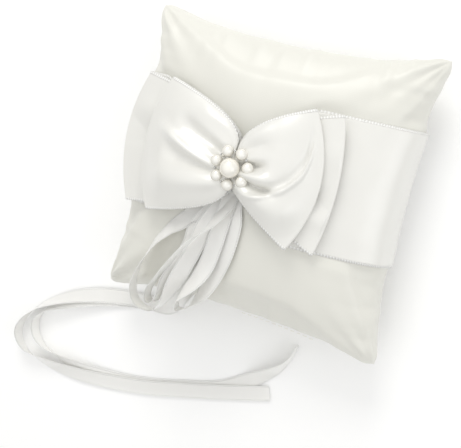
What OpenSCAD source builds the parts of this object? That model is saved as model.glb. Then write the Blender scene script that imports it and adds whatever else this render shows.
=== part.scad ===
// Ring bearer pillow: a square satin cushion with a wide ribbon band, a two-layer bow, a pearl
// brooch, three loops of narrow ribbon and two long tails that tie the rings on.
// It lies on its back: X to the cushion's right, Y to its top, Z out of its front face.
// The origin is on the underside of the wide band, below the middle of the cushion.

/* [Cushion] */
// Side of the cushion, from corner to corner along the seam
cushion_side = 180; // [150:1:220]
// How far the middle of each side is pulled in by the filling
side_pull = 8.5; // [5:0.5:12]
// Height of the front crown above the seam
crown = 34; // [27:0.5:42]
// Depth of the back below the seam before it is flattened by the table
back_depth = 30; // [27:0.5:38]
// Height of the seam above the table
seam_height = 26; // [20:0.5:27]
// Fullness of the filling, where 1 is an elliptical crown and less is fuller
fullness = 0.75; // [0.6:0.05:1]
// Thickness of the satin cover with its backing
cover_t = 0.8; // [0.5:0.1:1.5]

/* [Wide ribbon] */
// Width of the wide ribbon of the band and the bow
wide_w = 77; // [60:1:90]
// Thickness of the band
band_t = 0.6; // [0.4:0.1:1]
// Distance of the band's middle above the cushion's middle
band_y = 8.5; // [0:0.5:14]
// Length of the overlap where the band's ends meet under the bow
overlap_l = 24; // [14:1:30]
// Distance from the knot to where the gathered band has opened to its full width
gather_reach = 36; // [30:1:44]

/* [Bow] */
// Knot's distance right of the cushion's middle
knot_x = -6; // [-12:0.5:12]
// Knot's distance above the cushion's middle
knot_y = 6.5; // [0:0.5:14]
// Distance from the knot to each loop's fold, lower layer
lower_reach_left = 79; // [60:1:80]
lower_reach_right = 56; // [50:1:64]
// Distance from the knot to each loop's fold, upper layer
upper_reach_left = 61; // [50:1:64]
upper_reach_right = 48; // [40:1:54]
// Height of a loop of the lower layer
lower_puff = 5; // [3:0.5:7]
// Height of a loop of the upper layer
upper_puff = 7; // [4:0.5:9]
// Half the height of the pinched middle
pinch_half = 9; // [7:0.5:12]
// Distance from the knot to the line where a loop bends when it is lifted
bend_at = 14; // [12:0.5:18]

/* [Narrow ribbon] */
// Width of the narrow ribbon
ribbon_w = 10; // [6:0.5:12]
// Thickness of the narrow ribbon's solid
ribbon_t = 0.6; // [0.3:0.1:0.8]

/* [Brooch] */
// Diameter of the middle pearl
centre_d = 11; // [8:0.5:13]
// Diameter of a pearl of the ring
ring_d = 6.5; // [5:0.5:7]
// Radius of the ring of pearls
ring_r = 9.4; // [9:0.1:14]
// Number of pearls in the ring
ring_n = 7; // [5:1:8]
// Angle of the first pearl of the ring
ring_turn = 12; // [0:1:50]

/* [Hidden] */

satin = "#f6f4ee";
ribbon_white = "#fbfaf7";
thread_white = "#efece4";
pearl_ivory = "#efe9dc";
gap = 0.15;                     // between pieces that lie on each other
half = cushion_side / 2;
rest_z = band_t + gap;          // where the cushion's own back would touch
rim = 1.2;                      // width of the cover's edge at the seam
rim_drop = 0.4;                 // the edge's inner side lies this far below the seam
grid_n = 20;                    // cells across a panel
layout = cushion_side / 180;    // the ribbon routes are laid out for a 180 mm cushion
knot_z = front_z(knot_x, knot_y);

// ---- shape of the cushion ----
// A panel is mapped from two angles, a across and b up, each from -90 to 90.
function panel_x(a, b, h) = sin(a) * (h - side_pull * (1 - pow(sin(b), 2)));
function panel_y(a, b, h) = sin(b) * (h - side_pull * (1 - pow(sin(a), 2)));
function swell(ca, cb) = pow(max(0, ca * cb), fullness);
function front_pt(a, b, h, up) =
    [panel_x(a, b, h), panel_y(a, b, h), seam_height + up * swell(cos(a), cos(b))];
function back_pt(a, b, h, down, low) =
    [panel_x(a, b, h), panel_y(a, b, h), max(low, seam_height - down * swell(cos(a), cos(b)))];

// Height of the front at a point, found by closing in on its two angles' sines
function clip(v) = max(-1, min(1, v));
function settle(x, y, sa, sb, n) = n == 0 ? [sa, sb] :
    settle(x, y, clip(x / (half - side_pull * (1 - sb * sb))),
        clip(y / (half - side_pull * (1 - sa * sa))), n - 1);
function front_z(x, y) =
    let (s = settle(x, y, clip(x / half), clip(y / half), 8))
    seam_height + crown * swell(sqrt(1 - s[0] * s[0]), sqrt(1 - s[1] * s[1]));

// ---- solids from grids of points ----
function cell(p, q, r, s) = [[p, q, r], [p, r, s]];
function flat_list(l) = [for (a = l) for (b = a) b];
// A slab between two grids of n by m points, the upper one and the lower one
module slab(upper, lower, n, m) {
    u = function(i, j) i * m + j;
    d = function(i, j) n * m + i * m + j;
    faces = flat_list(concat(
        [for (i = [0:n - 2]) for (j = [0:m - 2]) cell(u(i, j), u(i, j + 1), u(i + 1, j + 1), u(i + 1, j))],
        [for (i = [0:n - 2]) for (j = [0:m - 2]) cell(d(i, j), d(i + 1, j), d(i + 1, j + 1), d(i, j + 1))],
        [for (i = [0:n - 2]) cell(u(i, 0), u(i + 1, 0), d(i + 1, 0), d(i, 0))],
        [for (i = [0:n - 2]) cell(u(i + 1, m - 1), u(i, m - 1), d(i, m - 1), d(i + 1, m - 1))],
        [for (j = [0:m - 2]) cell(u(0, j + 1), u(0, j), d(0, j), d(0, j + 1))],
        [for (j = [0:m - 2]) cell(u(n - 1, j), u(n - 1, j + 1), d(n - 1, j + 1), d(n - 1, j))]
    ));
    polyhedron(points = concat(upper, lower), faces = faces, convexity = 6);
}
function angles(n) = [for (i = [0:n]) -90 + 180 * i / n];

// ---- cover and filling ----
module front_panel() {
    inner_h = half - rim;
    color(satin) slab(
        [for (a = angles(grid_n)) for (b = angles(grid_n)) front_pt(a, b, half, crown)],
        [for (a = angles(grid_n)) for (b = angles(grid_n))
            front_pt(a, b, inner_h, crown - cover_t + rim_drop) - [0, 0, rim_drop]],
        grid_n + 1, grid_n + 1);
}

module back_panel() {
    inner_h = half - rim;
    color(satin) slab(
        [for (a = angles(grid_n)) for (b = angles(grid_n))
            let (p = back_pt(a, b, inner_h, back_depth - cover_t, rest_z + cover_t))
            [p.x, p.y, min(p.z, seam_height - rim_drop)]],
        [for (a = angles(grid_n)) for (b = angles(grid_n)) back_pt(a, b, half, back_depth, rest_z)],
        grid_n + 1, grid_n + 1);
}

module fibre_filling() {
    n = 14;
    edge = 0.5;                 // half the filling's thickness at its own edge
    fill_h = half - rim - 3;
    up = crown - cover_t - edge - gap;
    down = back_depth - cover_t - edge - gap;
    low = rest_z + cover_t + gap;
    color("white") slab(
        [for (a = angles(n)) for (b = angles(n)) front_pt(a, b, fill_h, up) + [0, 0, edge]],
        [for (a = angles(n)) for (b = angles(n)) back_pt(a, b, fill_h, down, low + edge) - [0, 0, edge]],
        n + 1, n + 1);
}

// Slip stitches that close the turning gap in the lower edge
module closing_stitches() {
    stitch_l = 2.4;
    stitch_r = 0.25;
    pitch = 4;
    first = 4;
    count = 12;
    for (i = [0:count - 1]) {
        x = first + i * pitch;
        sx = x / half;
        y = -(half - side_pull * (1 - sx * sx)) - stitch_r - gap;
        color(thread_white) translate([x, y, seam_height]) rotate([0, 90, 0])
            cylinder(r = stitch_r, h = stitch_l, center = true, $fn = 24);
    }
}

// ---- wide band ----
// Angle-and-height point on a section of the cushion at height y up the face, grown by off
function section_pt(a, y, off, depth, low, front) =
    let (h = half + off,
         sb = y / (h - side_pull * pow(cos(a), 2)),
         s = swell(cos(a), sqrt(1 - sb * sb)))
    [sin(a) * (h - side_pull * (1 - sb * sb)), y,
     front ? seam_height + (crown + off) * s : max(low, seam_height - (depth + off) * s)];
back_clear = 0.5;               // extra room between the band and the flattened back
function section_ring(t, off, low, n) = let (y = band_y + t * wide_w / 2) concat(
    [for (i = [0:n - 1]) let (a = -90 + 180 * i / n, x = section_pt(a, y, off, back_depth, low, true).x)
        section_pt(a, band_at(x, t), off, back_depth, low, true)],
    [for (i = [0:n - 1]) section_pt(90 - 180 * i / n, y, off, back_depth + back_clear, low, false)]);

// The front of the band is gathered at the knot. t goes from -1 at its lower edge to 1 at its upper edge.
function mix(p, q, t) = p + (q - p) * t;
function opened(x) = min(1, abs(x - knot_x) / gather_reach);
function band_half(x) = mix(pinch_half, wide_w / 2, pow(opened(x), 0.6));
function band_at(x, t, trim = 0) = mix(knot_y, band_y, opened(x)) + t * (band_half(x) - trim);

module wide_band() {
    n = 36;
    rows = 9;
    m = 2 * n;
    t_at = [for (k = [0:rows - 1]) 2 * k / (rows - 1) - 1];
    outer = [for (t = t_at) each section_ring(t, gap + band_t, 0, n)];
    inner = [for (t = t_at) each section_ring(t, gap, band_t, n)];
    o = function(k, i) k * m + i % m;
    q = function(k, i) rows * m + k * m + i % m;
    faces = flat_list(concat(
        [for (k = [0:rows - 2]) for (i = [0:m - 1]) cell(o(k, i), o(k + 1, i), o(k + 1, i + 1), o(k, i + 1))],
        [for (k = [0:rows - 2]) for (i = [0:m - 1]) cell(q(k, i), q(k, i + 1), q(k + 1, i + 1), q(k + 1, i))],
        [for (i = [0:m - 1]) cell(o(0, i), o(0, i + 1), q(0, i + 1), q(0, i))],
        [for (i = [0:m - 1]) cell(o(rows - 1, i + 1), o(rows - 1, i), q(rows - 1, i), q(rows - 1, i + 1))]
    ));
    color(ribbon_white) polyhedron(points = concat(outer, inner), faces = faces, convexity = 8);
}

band_top = gap + band_t;        // above the cushion's front, where the band lies on it
overlap_low = band_top + gap;
overlap_top = overlap_low + band_t;

module band_overlap() {
    n = 8;
    m = 14;
    grid = [for (i = [0:n]) for (j = [0:m])
        let (x = knot_x + overlap_l * (i / n - 0.5)) [x, band_at(x, 2 * j / m - 1, 1)]];
    color(ribbon_white) slab(
        [for (p = grid) [p.x, p.y, front_z(p.x, p.y) + overlap_top]],
        [for (p = grid) [p.x, p.y, front_z(p.x, p.y) + overlap_low]], n + 1, m + 1);
}

// Running stitches along the free edge of the overlap
module overlap_stitches() {
    stitch_r = 0.25;
    stitch_l = 2.2;
    count = 9;
    edge = 3;                   // from the last stitch to the ribbon's edge
    x = knot_x + overlap_l / 2 - 2;
    for (i = [0:count - 1]) {
        y = band_at(x, 2 * i / (count - 1) - 1, edge);
        slope = atan2(front_z(x, y + 1) - front_z(x, y - 1), 2);
        color(thread_white) translate([x, y, front_z(x, y) + overlap_top + stitch_r + 0.1])
            rotate([90 + slope, 0, 0]) cylinder(r = stitch_r, h = stitch_l, center = true, $fn = 24);
    }
}

// ---- bow ----
bow_lift = 2.6;                 // underside of the bow above the cushion's front
bend_half = 28;                 // half a loop's height where it bends
pinch_t = 3.4;                  // thickness of one layer at the knot
layer_gap = 0.3;
rim_t = 1.2;                    // thickness of a loop along its edges
fold_drop_left = 16;            // how far each side's loops slope down to their fold
fold_drop_right = 4;

// The surface that a bow side lies on: the cushion's front, or a straight line out over its shoulder
function line_z(d, side) = knot_z + bow_lift -
    (side < 0 ? fold_drop_left * d / lower_reach_left : fold_drop_right * d / lower_reach_right);
function bow_base(x, y, side) = max(front_z(x, y) + bow_lift, line_z(abs(x - knot_x), side));

// Grid point of a loop: s from the bend to the fold, t from its lower edge to its upper edge
function loop_xy(side, reach, bulge, s, t) =
    let (out = reach - bulge * t * t, d = mix(bend_at + 0.5, out, s))
    [knot_x + side * d, mix(knot_y + t * bend_half, band_y + t * wide_w / 2, pow(s, 0.7))];

module bow_loop(side, reach, bulge, low, puff) {
    n = 9;
    m = 9;
    s_at = [for (i = [0:n - 1]) side > 0 ? i / (n - 1) : 1 - i / (n - 1)];
    t_at = [for (j = [0:m - 1]) -1 + 2 * j / (m - 1)];
    under = [for (s = s_at) for (t = t_at)
        let (p = loop_xy(side, reach, bulge, s, t)) [p.x, p.y, bow_base(p.x, p.y, side) + low]];
    over = [for (s = s_at) for (t = t_at)
        let (p = loop_xy(side, reach, bulge, s, t),
             full = (1 - pow(t, 4)) * (1 - pow(s, 6)) * (0.55 + 0.45 * sin(180 * s)))
        [p.x, p.y, bow_base(p.x, p.y, side) + low + rim_t + (puff - rim_t) * full]];
    color(ribbon_white) slab(over, under, n, m);
}

upper_low = lower_puff + layer_gap;
module lower_loop_left() { bow_loop(-1, lower_reach_left, 9, 0, lower_puff); }
module lower_loop_right() { bow_loop(1, lower_reach_right, 5, 0, lower_puff); }
module upper_loop_left() { bow_loop(-1, upper_reach_left, 10, upper_low, upper_puff); }
module upper_loop_right() { bow_loop(1, upper_reach_right, 11, upper_low, upper_puff); }

// The pinched middle of one layer, a butterfly shape between the two bend lines
module bow_pinch(mid_low, mid_high, end_low, end_high) {
    m = 8;
    reach = bend_at - 0.5;
    held = wrap_w / 2 + 0.6;    // stays narrow this far from the knot, under the wrap
    out = [held, mix(held, reach, 0.25), mix(held, reach, 0.6), reach];
    across = concat([for (i = [3:-1:0]) -out[i]], [0], out);
    n = len(across) - 1;
    at = [for (d = across) for (j = [0:m])
        let (f = pow(max(0, abs(d) - held) / (reach - held), 0.7))
        [knot_x + d, knot_y + mix(pinch_half, bend_half, f) * (2 * j / m - 1), f]];
    side_of = function(p) p.x < knot_x ? -1 : 1;
    color(ribbon_white) slab(
        [for (p = at) [p.x, p.y,
            mix(knot_z + bow_lift, bow_base(p.x, p.y, side_of(p)), p.z) + mix(mid_high, end_high, p.z)]],
        [for (p = at) [p.x, p.y,
            mix(knot_z + bow_lift, bow_base(p.x, p.y, side_of(p)), p.z) + mix(mid_low, end_low, p.z)]],
        n + 1, m + 1);
}
module lower_bow_pinch() { bow_pinch(0, pinch_t, 0, rim_t + 1.5); }
module upper_bow_pinch() {
    bow_pinch(pinch_t + layer_gap, 2 * pinch_t + layer_gap, upper_low, upper_low + 3);
}

// Strip that goes round both pinched middles
wrap_t = 0.6;
wrap_w = 6;
wrap_clear = 0.2;
wrap_low = knot_z + bow_lift - wrap_clear - wrap_t;
wrap_top = knot_z + bow_lift + 2 * pinch_t + layer_gap + wrap_clear + wrap_t;
module round_rect(w, h, r) {
    square([w - 2 * r, h], center = true);
    square([w, h - 2 * r], center = true);
    for (sx = [-1, 1]) for (sy = [-1, 1])
        translate([sx * (w / 2 - r), sy * (h / 2 - r)]) circle(r = r, $fn = 32);
}
module bow_wrap() {
    high = wrap_top - wrap_low;
    wide = 2 * (pinch_half + 1.4 + wrap_t);
    color(ribbon_white) translate([knot_x - wrap_w / 2, knot_y, (wrap_top + wrap_low) / 2])
        rotate([90, 0, 90]) linear_extrude(wrap_w) difference() {
            round_rect(wide, high, 1.2);
            round_rect(wide - 2 * wrap_t, high - 2 * wrap_t, 0.6);
        }
}

// Four stitches that tack the wrap to the band
root_t = 0.6;                   // thickness of the fan of ribbon ends
module tacking_stitches() {
    stitch_r = 0.25;
    out_y = pinch_half + 1.4 + wrap_t + 1;
    for (sx = [-1, 1]) for (sy = [-1, 1]) {
        x = knot_x + sx * 2;
        y = knot_y + sy * out_y;
        z = front_z(x, y) + overlap_top + gap + root_t + stitch_r + 0.1;
        color(thread_white) translate([x, y, z]) rotate([90, 0, 0])
            cylinder(r = stitch_r, h = 1.4, center = true, $fn = 24);
    }
}

// ---- narrow ribbon ----
// A route's point is [x, y, z, tilt]. The tilt is 0 where the ribbon lies flat and 90 where it
// stands on its edge.
// A ribbon wider than 10 mm lies higher where it is tilted, and takes wider bends.
widened = max(1, ribbon_w / 10);
edge_rise = 15 * (widened - 1);
tail_start = [-70, -101.5];     // where the tails meet their upper runs on the table
function on_cushion(x, y, lift, tilt) =
    let (p = layout * [x, y]) [p.x, p.y, front_z(p.x, p.y) + lift * widened, tilt];
function falling(x, y, part, tilt) = [layout * x, layout * y, seam_height * part, tilt];
function past_edge(x, y, part, tilt) =
    [layout * x, layout * y, seam_height + crown * part + edge_rise, tilt];
function on_table(x, y, tilt, stack) =
    let (p = layout * (tail_start + widened * ([x, y] - tail_start)))
    [p.x, p.y, 0.25 + (ribbon_t + ribbon_w * abs(sin(tilt))) / 2 + stack * (ribbon_t + gap), tilt];

function curve_at(p0, p1, p2, p3, t) = 0.5 * (2 * p1 + (p2 - p0) * t +
    (2 * p0 - 5 * p1 + 4 * p2 - p3) * t * t + (3 * p1 - p0 - 3 * p2 + p3) * t * t * t);
function smooth(route, n) = let (last = len(route) - 1) [
    for (i = [0:last - 1]) for (k = [0:n - 1])
        curve_at(route[max(i - 1, 0)], route[i], route[i + 1], route[min(i + 2, last)], k / n),
    route[last]];
function unit(v) = v / norm(v);
function xyz(p) = [p[0], p[1], p[2]];

module ribbon(route, steps = 3) {
    path = smooth(route, steps);
    last = len(path) - 1;
    rings = [for (i = [0:last])
        let (along = unit(xyz(path[min(i + 1, last)]) - xyz(path[max(i - 1, 0)])),
             level = unit(cross([0, 0, 1], along)),
             rise = cross(along, level),
             across = cos(path[i][3]) * level + sin(path[i][3]) * rise,
             up = cross(along, across),
             w = across * ribbon_w / 2, t = up * ribbon_t / 2, c = xyz(path[i]))
        each [c - w - t, c + w - t, c + w + t, c - w + t]];
    faces = flat_list(concat(
        [for (i = [0:last - 1]) for (k = [0:3])
            cell(4 * i + k, 4 * i + 4 + k, 4 * i + 4 + (k + 1) % 4, 4 * i + (k + 1) % 4)],
        [cell(0, 1, 2, 3)],
        [cell(4 * last + 3, 4 * last + 2, 4 * last + 1, 4 * last)]
    ));
    color(ribbon_white) polyhedron(points = rings, faces = faces, convexity = 10);
}

// The loops, from the bend line under the bow, round their ends and back. The second lies inside the first.
loop_1_route = [
    on_cushion(-34, -32, 3.4, 20), on_cushion(-40, -38, 6, 45), on_cushion(-47, -47, 8, 60),
    on_cushion(-53, -58, 9, 70), on_cushion(-58, -69, 9, 80), past_edge(-60, -79, 0.72, 88),
    past_edge(-58, -87, 0.66, 90), past_edge(-52, -91, 0.63, 90), past_edge(-44, -90, 0.64, 90),
    past_edge(-38, -82, 0.72, 80), on_cushion(-33, -70, 8, 45), on_cushion(-27, -56, 5.8, 8),
    on_cushion(-22, -43, 4.8, 0), on_cushion(-19, -31, 4.8, 0)];
loop_2_route = [
    on_cushion(-13, -28, 10.5, 60), on_cushion(-20, -36, 11.5, 85), on_cushion(-28, -46, 11.5, 90),
    on_cushion(-36, -58, 11.5, 90), on_cushion(-43, -69, 11.5, 90), past_edge(-47.5, -77, 0.83, 90),
    past_edge(-48, -83, 0.79, 90), past_edge(-44.5, -85, 0.77, 90), past_edge(-40.5, -79, 0.79, 80),
    on_cushion(-37, -69, 8, 45), on_cushion(-31, -56, 4.2, 8), on_cushion(-26, -43, 3.5, 0),
    on_cushion(-24, -32, 3.5, 0)];
loop_3_route = [
    on_cushion(-2, -26, 3.4, 0), on_cushion(-4, -43, 3.4, 2), on_cushion(-8, -56, 3.4, 5),
    on_cushion(-13, -68, 6, 25), past_edge(-18, -76, 0.8, 60), past_edge(-22.5, -82, 0.82, 88),
    past_edge(-27, -83, 0.86, 94), past_edge(-28, -78, 0.9, 105), past_edge(-24.5, -72, 0.93, 125),
    on_cushion(-19, -64, 9, 152), on_cushion(-14, -54, 6.5, 175), on_cushion(-11, -42, 5.6, 180),
    on_cushion(-9, -28, 5.2, 180)];

// The tails' upper runs, over the cushion and down to the table, one on the other
outer_run_route = [
    on_cushion(-15, -31, 2.2, 0), on_cushion(-17, -43, 2.2, 0), on_cushion(-20, -56, 2.3, 0),
    on_cushion(-24, -68, 3.2, 0), on_cushion(-30, -78, 5.1, 0), falling(-37, -87, 1.34, 0),
    falling(-46, -94, 0.88, 0), falling(-56, -98.5, 0.42, 0), falling(-67, -101, 0.11, 0)];
run_drop = 1.2;
inner_run_route = [for (i = [0:len(outer_run_route) - 1])
    outer_run_route[i] - [0, 0, i < 3 ? 1.1 : i < len(outer_run_route) - 1 ? run_drop : 1, 0]];

// The tails on the table: flat, on edge round the left bend, and flat again, the outer one on top
outer_tail_route = [
    on_table(-70, -101.5, 0, 1), on_table(-84, -103, 5, 1), on_table(-100, -106, 15, 1),
    on_table(-117, -111, 30, 1), on_table(-133, -118, 50, 0.5), on_table(-148, -128, 75, 0),
    on_table(-158, -140, 90, 0), on_table(-160, -151, 90, 0), on_table(-152, -161, 75, 0),
    on_table(-136, -165, 45, 0.5), on_table(-115, -166, 20, 1), on_table(-90, -164, 5, 1),
    on_table(-60, -159, 0, 1), on_table(-30, -151, 0, 1), on_table(-3, -143, 0, 1),
    on_table(25, -134, 0, 1)];
inner_tail_route = [
    on_table(-70, -102, 0, 0), on_table(-84, -104.5, 5, 0), on_table(-100, -108.5, 15, 0),
    on_table(-116, -114, 30, 0), on_table(-131, -121, 50, 0), on_table(-142, -128, 75, 0),
    on_table(-148, -137, 90, 0), on_table(-146, -147, 90, 0), on_table(-136, -155, 72, 0),
    on_table(-116, -160, 35, 0), on_table(-91, -161, 8, 0), on_table(-60, -157, 0, 0),
    on_table(-30, -149, 0, 0), on_table(-8, -141.5, 0, 0), on_table(9, -131, 6, 0),
    on_table(24, -119, 45, 0), on_table(33, -108, 80, 0), on_table(36, -98, 90, 0)];

module streamer_loop_1() { ribbon(loop_1_route); }
module streamer_loop_2() { ribbon(loop_2_route); }
module streamer_loop_3() { ribbon(loop_3_route); }
module outer_tail_run() { ribbon(outer_run_route); }
module inner_tail_run() { ribbon(inner_run_route); }
module outer_tail() { ribbon(outer_tail_route, 4); }
module inner_tail() { ribbon(inner_tail_route, 4); }

// Fan of the ribbons' sewn ends, from under the knot to the line where they come free
module streamer_roots() {
    n = 6;
    m = 8;
    near_l = [knot_x - 8, knot_y - 12];
    near_r = [knot_x + 6, knot_y - 12];
    far_l = layout * [-37, -28];
    far_r = layout * [2, -24];
    at = [for (i = [0:m]) for (j = [0:n])
        let (q = mix(mix(far_l, far_r, i / m), mix(near_l, near_r, i / m), j / n))
        [q.x, q.y, front_z(q.x, q.y) + overlap_top + gap]];
    color(ribbon_white) slab([for (p = at) p + [0, 0, root_t]], at, m + 1, n + 1);
}

// ---- brooch ----
base_t = 0.8;
base_z = wrap_top + 0.1;
bead_z = base_z + base_t + ring_d / 2;
wire_r = 0.25;
module brooch_base() {
    color("silver") translate([knot_x, knot_y, base_z]) cylinder(r = ring_r, h = base_t, $fn = 64);
}
module bead_ring(r) {
    translate([knot_x, knot_y, bead_z]) rotate_extrude($fn = 96)
        translate([ring_r, 0]) circle(r = r, $fn = 24);
}
module bead_wire() { color("silver") bead_ring(wire_r); }
module on_ring(turn) {
    for (i = [0:ring_n - 1])
        translate([knot_x, knot_y, bead_z]) rotate([0, 0, turn + 360 * i / ring_n])
            translate([ring_r, 0, 0]) children();
}
module ring_pearls() {
    color(pearl_ivory) difference() {
        on_ring(ring_turn) sphere(d = ring_d, $fn = 48);
        bead_ring(wire_r + 0.1);
    }
}
seed_d = 2 * ring_r * sin(180 / ring_n) - ring_d - 0.3;
module seed_beads() {
    color("white") difference() {
        on_ring(ring_turn + 180 / ring_n) sphere(d = seed_d, $fn = 32);
        bead_ring(wire_r + 0.1);
    }
}
module centre_pearl() {
    color(pearl_ivory) translate([knot_x, knot_y, base_z + base_t + centre_d / 2])
        sphere(d = centre_d, $fn = 64);
}

front_panel();
back_panel();
fibre_filling();
closing_stitches();
wide_band();
band_overlap();
overlap_stitches();
lower_bow_pinch();
upper_bow_pinch();
bow_wrap();
tacking_stitches();
lower_loop_left();
lower_loop_right();
upper_loop_left();
upper_loop_right();
streamer_roots();
streamer_loop_1();
streamer_loop_2();
streamer_loop_3();
outer_tail_run();
inner_tail_run();
outer_tail();
inner_tail();
brooch_base();
bead_wire();
centre_pearl();
ring_pearls();
seed_beads();
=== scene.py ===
import math

import bmesh
import bpy
import numpy as np
from bpy.props import FloatProperty, FloatVectorProperty, IntProperty, PointerProperty
from mathutils import Matrix, Vector, noise


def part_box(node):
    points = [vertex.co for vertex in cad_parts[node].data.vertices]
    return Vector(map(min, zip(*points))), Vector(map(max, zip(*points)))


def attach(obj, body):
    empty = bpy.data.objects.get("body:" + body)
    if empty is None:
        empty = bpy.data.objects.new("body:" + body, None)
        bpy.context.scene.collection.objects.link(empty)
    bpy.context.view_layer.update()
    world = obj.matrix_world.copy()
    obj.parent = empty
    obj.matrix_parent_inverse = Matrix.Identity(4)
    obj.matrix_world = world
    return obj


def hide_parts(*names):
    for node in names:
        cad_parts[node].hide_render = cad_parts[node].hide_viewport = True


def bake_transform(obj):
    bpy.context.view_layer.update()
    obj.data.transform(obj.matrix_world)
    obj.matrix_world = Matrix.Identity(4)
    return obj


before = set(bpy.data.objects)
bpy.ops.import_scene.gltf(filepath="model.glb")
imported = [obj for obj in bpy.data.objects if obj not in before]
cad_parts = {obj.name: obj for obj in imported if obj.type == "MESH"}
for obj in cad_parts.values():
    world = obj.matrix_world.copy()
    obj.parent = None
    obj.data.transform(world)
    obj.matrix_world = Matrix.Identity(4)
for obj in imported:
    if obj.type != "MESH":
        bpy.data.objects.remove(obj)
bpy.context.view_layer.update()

bl_info = {
    "name": "Ring Bearer Pillow",
    "version": (1, 0, 0),
    "blender": (4, 5, 0),
    "location": "3D View > Sidebar > Pillow",
    "description": "Builds a satin ring bearer pillow, its ribbons, bow and pearl brooch "
                   "around the packed frame",
    "category": "Add Mesh",
}


# ---- sizes that the frame gives, in millimetres ----
def box(node):
    low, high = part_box(node)
    return low * 1000, high * 1000


def middle(node):
    low, high = box(node)
    return (low + high) / 2


HALF = box("front_panel")[1].x
SEAM = box("back_panel")[1].z
CROWN = box("front_panel")[1].z - SEAM
BACK_LOW = box("back_panel")[0].z
KNOT = middle("bow_wrap")
BAND_LOW, BAND_HIGH = box("wide_band")
BAND_Y = (BAND_LOW.y + BAND_HIGH.y) / 2
WIDE_W = BAND_HIGH.y - BAND_LOW.y
WRAP_CLEAR = 0.8                # the bow's underside above the wrap's
BOW_Z = box("bow_wrap")[0].z + WRAP_CLEAR
REACH = {
    ("lower", -1): KNOT.x - box("lower_loop_left")[0].x,
    ("lower", 1): box("lower_loop_right")[1].x - KNOT.x,
    ("upper", -1): KNOT.x - box("upper_loop_left")[0].x,
    ("upper", 1): box("upper_loop_right")[1].x - KNOT.x,
}
STITCHED = box("closing_stitches")
RIBBON_W = 10.0
LAYOUT = HALF / 90              # the ribbons' routes are laid out for a half side of 90
PINCH = 9.0                     # half width of the gathers at the knot
# How far from the knot the band's gathers run, to the left and to the right
GATHER_REACH = {-1: 60.0, 1: 36.0}
BAND_GATHER = 0.85              # how fast the band opens out from them, where less is faster


def clip(v):
    return max(-1.0, min(1.0, v))


def ease(low, high, v):
    """0 below low, 1 above high, smooth between them."""
    t = max(0.0, min(1.0, (v - low) / (high - low)))
    return t * t * (3 - 2 * t)


def mix(a, b, t):
    return a + (b - a) * t


# ---- colours and nodes ----
def linear(code):
    """A sRGB hex colour as the linear colour that a shader takes."""
    parts = [int(code[i:i + 2], 16) / 255 for i in (1, 3, 5)]
    return tuple(p / 12.92 if p <= 0.04045 else ((p + 0.055) / 1.055) ** 2.4 for p in parts)


def add(tree, kind, inputs=(), **settings):
    """Adds a node with its settings. inputs gives each socket a value or another node's output."""
    made = tree.nodes.new(kind)
    for name, value in settings.items():
        setattr(made, name, value)
    for name, value in dict(inputs).items():
        if isinstance(value, bpy.types.NodeSocket):
            tree.links.new(value, made.inputs[name])
        else:
            made.inputs[name].default_value = value
    return made


def new_material(name):
    made = bpy.data.materials.new(name)
    made.use_nodes = True
    made.node_tree.nodes.clear()
    return made, made.node_tree


def end_material(tree, shader):
    add(tree, "ShaderNodeOutputMaterial", {"Surface": shader.outputs[0]})


def bands(period):
    """The wave texture's scale for bands a period apart, in metres."""
    return math.pi / 10 / period


def rgba(colour, share=1.0):
    """A linear colour, or a darker share of it, as a socket takes it."""
    return (colour[0] * share, colour[1] * share, colour[2] * share, 1.0)


COVER_SHADE, RIBBON_SHADE = 0.94, 0.93      # the darkest cloth, as a share of its colour


# Duchess satin: long polyester floats over a fine ground. It has a broad, soft sheen and hardly a visible thread.
def cover_satin(sizes):
    made, tree = new_material("duchess_satin_cover")
    place = add(tree, "ShaderNodeTexCoord").outputs["Object"]
    # Cloudy patches about 45 mm across, and a polish that wanders over about 17 mm
    cloudy = add(tree, "ShaderNodeTexNoise", {"Vector": place, "Scale": 22.0, "Detail": 3.0})
    colour = add(tree, "ShaderNodeMix", {
        "Factor": cloudy.outputs["Fac"], 6: rgba(sizes.cover_colour), 7: rgba(sizes.cover_colour, COVER_SHADE)},
        data_type="RGBA")
    # Threads are about 0.1 mm apart. They are drawn at 0.6 mm, the finest that shows.
    warp = add(tree, "ShaderNodeTexWave", {"Vector": place, "Scale": bands(0.0006), "Distortion": 1.5,
                                           "Detail": 1.0, "Detail Scale": 2.0}, bands_direction="X")
    weft = add(tree, "ShaderNodeTexWave", {"Vector": place, "Scale": bands(0.0009), "Distortion": 1.5,
                                           "Detail": 1.0, "Detail Scale": 2.0}, bands_direction="Y")
    weave = add(tree, "ShaderNodeMath", {0: warp.outputs["Fac"], 1: weft.outputs["Fac"]}, operation="ADD")
    bump = add(tree, "ShaderNodeBump", {"Height": weave.outputs[0], "Strength": 0.05, "Distance": 0.0002})
    soft = add(tree, "ShaderNodeTexNoise", {"Vector": place, "Scale": 60.0, "Detail": 2.0})
    rough = add(tree, "ShaderNodeMapRange", {"Value": soft.outputs["Fac"], "To Min": 0.42, "To Max": 0.52})
    shader = add(tree, "ShaderNodeBsdfPrincipled", {
        "Base Color": colour.outputs[2], "Roughness": rough.outputs[0], "Normal": bump.outputs[0],
        "IOR": 1.6, "Specular IOR Level": 0.8, "Sheen Weight": 0.1, "Sheen Roughness": 0.4})
    end_material(tree, shader)
    return made


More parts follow.
